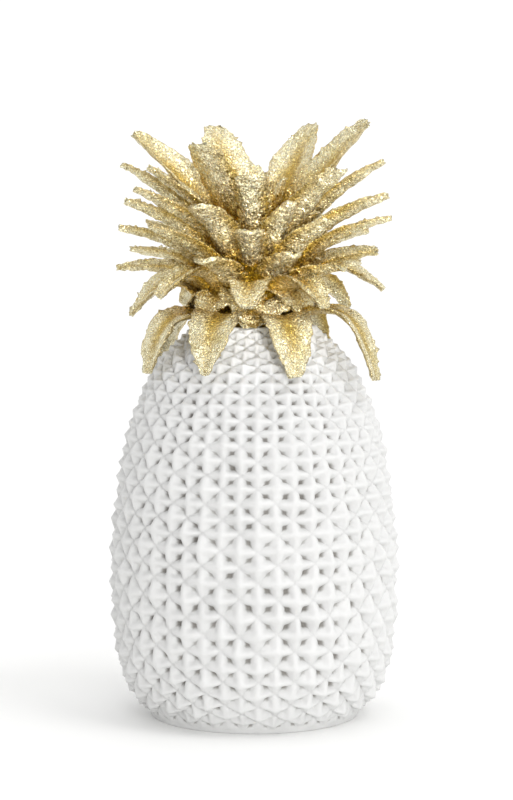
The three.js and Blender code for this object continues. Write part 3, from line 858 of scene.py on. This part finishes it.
for label, value in {"along": share, "off_ridge": off_middle, "inner": through}.items():
    tubes = step("GeometryNodeStoreNamedAttribute", tubes, None, label, value, data_type="FLOAT")
blades = step("GeometryNodeSetPosition", tubes, None, blade_place)
print("blades are cut and placed")

# %% Lump and crinkle the skin
LUMP_SCALE = 170.0
CRINKLE_SCALE = 520.0
skin_place = step("GeometryNodeInputPosition")
skin_normal = step("GeometryNodeInputNormal")
for scale, height in ((LUMP_SCALE, "Lump Height"), (CRINKLE_SCALE, "Crinkle Height")):
    pattern = step("ShaderNodeTexNoise", skin_place, named={"Scale": scale, "Detail": 2.0, "Roughness": 0.6})
    rise = step("ShaderNodeMath MULTIPLY", step("ShaderNodeMath SUBTRACT", pattern, 0.5), leaf_in[height])
    offset = step("ShaderNodeVectorMath SCALE", skin_normal, named={"Scale": rise})
    blades = step("GeometryNodeSetPosition", blades, None, None, offset)
finish_tree(leaves, step("GeometryNodeSetShadeSmooth", blades), leaf_in["Material"])
print("the leaf tree has", len(leaves.nodes), "nodes")

# %% Grow the leaves, tier by tier
LEAF_STEPS = 52
TIER_NAMES = ["skirt", "collar", "lower", "middle", "shoulder", "upper", "spire", "heart", "sheath"]
for number, (tier_name, tier) in enumerate(zip(TIER_NAMES, TIERS)):
    line_guide = tier_guide(tier_name + "_guide", tier, LEAF_STEPS)
    piece = grow(
        tier_name + "_leaves",
        leaves,
        {
            "Guide": line_guide,
            "Leaf Count": len(tier[3]),
            "Steps Along": LEAF_STEPS,
            "Fold": math.radians(tier[2]),
            "Thickness": LEAF_THICKNESS,
            "Seed": 10 * number + 1,
            "Material": gold,
        },
    )
    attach(piece, "root")
    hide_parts("crown")
    bpy.data.objects.remove(line_guide)

# %% [markdown]
# The heart of the crown
#
# Between the roots of the leaves the casting closes to a lumpy knob. It shows only in the gaps, so a turned
# shape with uneven skin is enough. Its rings are joined one to the next, and its two ends are closed.

# %% Turn the hub
HUB_RADIUS = 23 * MM
HUB_SHARES = [(1, 0), (1, 0.06), (0.9, 0.16), (0.74, 0.3), (0.56, 0.44), (0.36, 0.56), (0.02, 0.62)]
HUB_SIDES = 72
HUB_STEPS = 8
HUB_LUMP_SCALE = 140
HUB_LUMP = 2.4 * MM
HUB_FLAT_FOOT = 1 * MM
hub_line = smooth_curve([(r * HUB_RADIUS, crown_seat + h * crown_height) for r, h in HUB_SHARES], HUB_STEPS)
hub_mesh = bmesh.new()
hub_rings = []
for radius, height in hub_line:
    turns = [2 * math.pi * number / HUB_SIDES for number in range(HUB_SIDES)]
    places = [(radius * math.cos(turn), radius * math.sin(turn), height) for turn in turns]
    hub_rings.append([hub_mesh.verts.new(place) for place in places])
for low, high in zip(hub_rings, hub_rings[1:]):
    for side in range(HUB_SIDES):
        after = (side + 1) % HUB_SIDES
        hub_mesh.faces.new((low[side], low[after], high[after], high[side]))
hub_mesh.faces.new(reversed(hub_rings[0]))
hub_mesh.faces.new(hub_rings[-1])
hub_mesh.normal_update()
for vertex in hub_mesh.verts:
    if vertex.co.z > crown_seat + HUB_FLAT_FOOT:
        vertex.co += vertex.normal * noise.noise(vertex.co * HUB_LUMP_SCALE) * HUB_LUMP
hub_data = bpy.data.meshes.new("crown_hub")
hub_mesh.to_mesh(hub_data)
hub_mesh.free()
hub_data.shade_smooth()
hub_data.materials.append(gold)
# The gold reads a negative place along the leaf as the hub, and paints the hub darkest there, as painted
# shade
hub_depth = hub_data.attributes.new("along", "FLOAT", "POINT")
hub_depth.data.foreach_set("value", [-1.0] * len(hub_data.vertices))
hub = bpy.data.objects.new("crown_hub", hub_data)
bpy.context.scene.collection.objects.link(hub)
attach(hub, "root")
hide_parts("crown")
print("the hub has", len(hub_data.polygons), "faces")

# %% [markdown]
# The floor and the light
#
# A studio shot on white: a pale floor that runs on behind the ornament, and a white surround that is
# brightest behind it and above on the right. A soft sun from the front and right models the studs, and throws
# a faint shadow to the left. A softbox in front lifts the metal and the pits, and a snooted lamp, a spot with
# a narrow cone, adds glints to the crown alone.

# %% Lay the floor
FLOOR_SIZE = 14.0
FLOOR_TONES = ("#F4F4F3", "#FBFBFA")
floor_paint = bpy.data.materials.new("pale studio floor")
floor_paint.use_nodes = True
floor_paint.node_tree.nodes.clear()
step = partial(add, floor_paint.node_tree)
place = step("ShaderNodeTexCoord", out=3)
mottle = step("ShaderNodeTexNoise", place, named={"Scale": 3.0, "Detail": 2.0})
colour = step("ShaderNodeMix", mottle, *map(linear, FLOOR_TONES), data_type="RGBA")
shader = step("ShaderNodeBsdfPrincipled", named={"Base Color": colour, "Roughness": 0.7})
step("ShaderNodeOutputMaterial", shader, out=slice(None))

floor_data = bpy.data.meshes.new("floor")
corners = [(x * FLOOR_SIZE / 2, y * FLOOR_SIZE / 2, 0) for x, y in ((-1, -1), (1, -1), (1, 1), (-1, 1))]
floor_data.from_pydata(corners, [], [(0, 1, 2, 3)])
floor_data.materials.append(floor_paint)
floor = bpy.data.objects.new("floor", floor_data)
bpy.context.scene.collection.objects.link(floor)
print("the floor is", FLOOR_SIZE, "m wide")

# %% Brighten the surround
BRIGHT_SIDE = Vector((0.45, 0.8, 0.3)).normalized()
SURROUND_RANGE = (-0.9, 0.5)
SURROUND_STRENGTHS = (0.64, 1.1)
world = bpy.data.worlds.new("white surround")
world.use_nodes = True
world.node_tree.nodes.clear()
step = partial(add, world.node_tree)
direction = step("ShaderNodeTexCoord")
facing = step("ShaderNodeVectorMath DOT_PRODUCT", direction, tuple(BRIGHT_SIDE))
surround = (*SURROUND_RANGE, *SURROUND_STRENGTHS)
brightness = step("ShaderNodeMapRange", facing, *surround, interpolation_type="SMOOTHSTEP")
background = step("ShaderNodeBackground", (1.0, 1.0, 1.0, 1.0), brightness)
step("ShaderNodeOutputWorld", background, out=slice(None))
bpy.context.scene.world = world
print("a white surround, brightest behind and above on the right")


# %% Light the scene
def hang_light(name, kind, energy, place, target, **settings):
    """A light at a place, turned to a target, with its settings."""
    lamp = bpy.data.lights.new(name, kind)
    lamp.energy = energy
    for label, value in settings.items():
        setattr(lamp, label, value)
    hung = bpy.data.objects.new(name, lamp)
    hung.location = place
    hung.rotation_euler = (hung.location - Vector(target)).to_track_quat("Z", "Y").to_euler()
    bpy.context.scene.collection.objects.link(hung)
    print(name, "turned to a height of", round(target[2] / MM), "mm")


FOOT = (0, 0, 0)
SHOULDER = (0, 0, 0.17)
CROWN_MIDDLE = (0, 0, 0.208)
hang_light(
    "soft key light",
    "SUN",
    energy=0.5,
    place=(0.6, -0.4, 1.1),
    target=FOOT,
    angle=math.radians(22),
)
hang_light("front softbox", "AREA", energy=7.5, place=(0.35, -1.4, 0.3), target=SHOULDER, size=0.5)
hang_light(
    "snooted crown light",
    "SPOT",
    energy=170,
    place=(0.2, -1.0, 0.36),
    target=CROWN_MIDDLE,
    spot_size=math.radians(4.5),
    spot_blend=0.8,
    shadow_soft_size=0.05,
)
bpy.context.scene.view_settings.view_transform = "Standard"
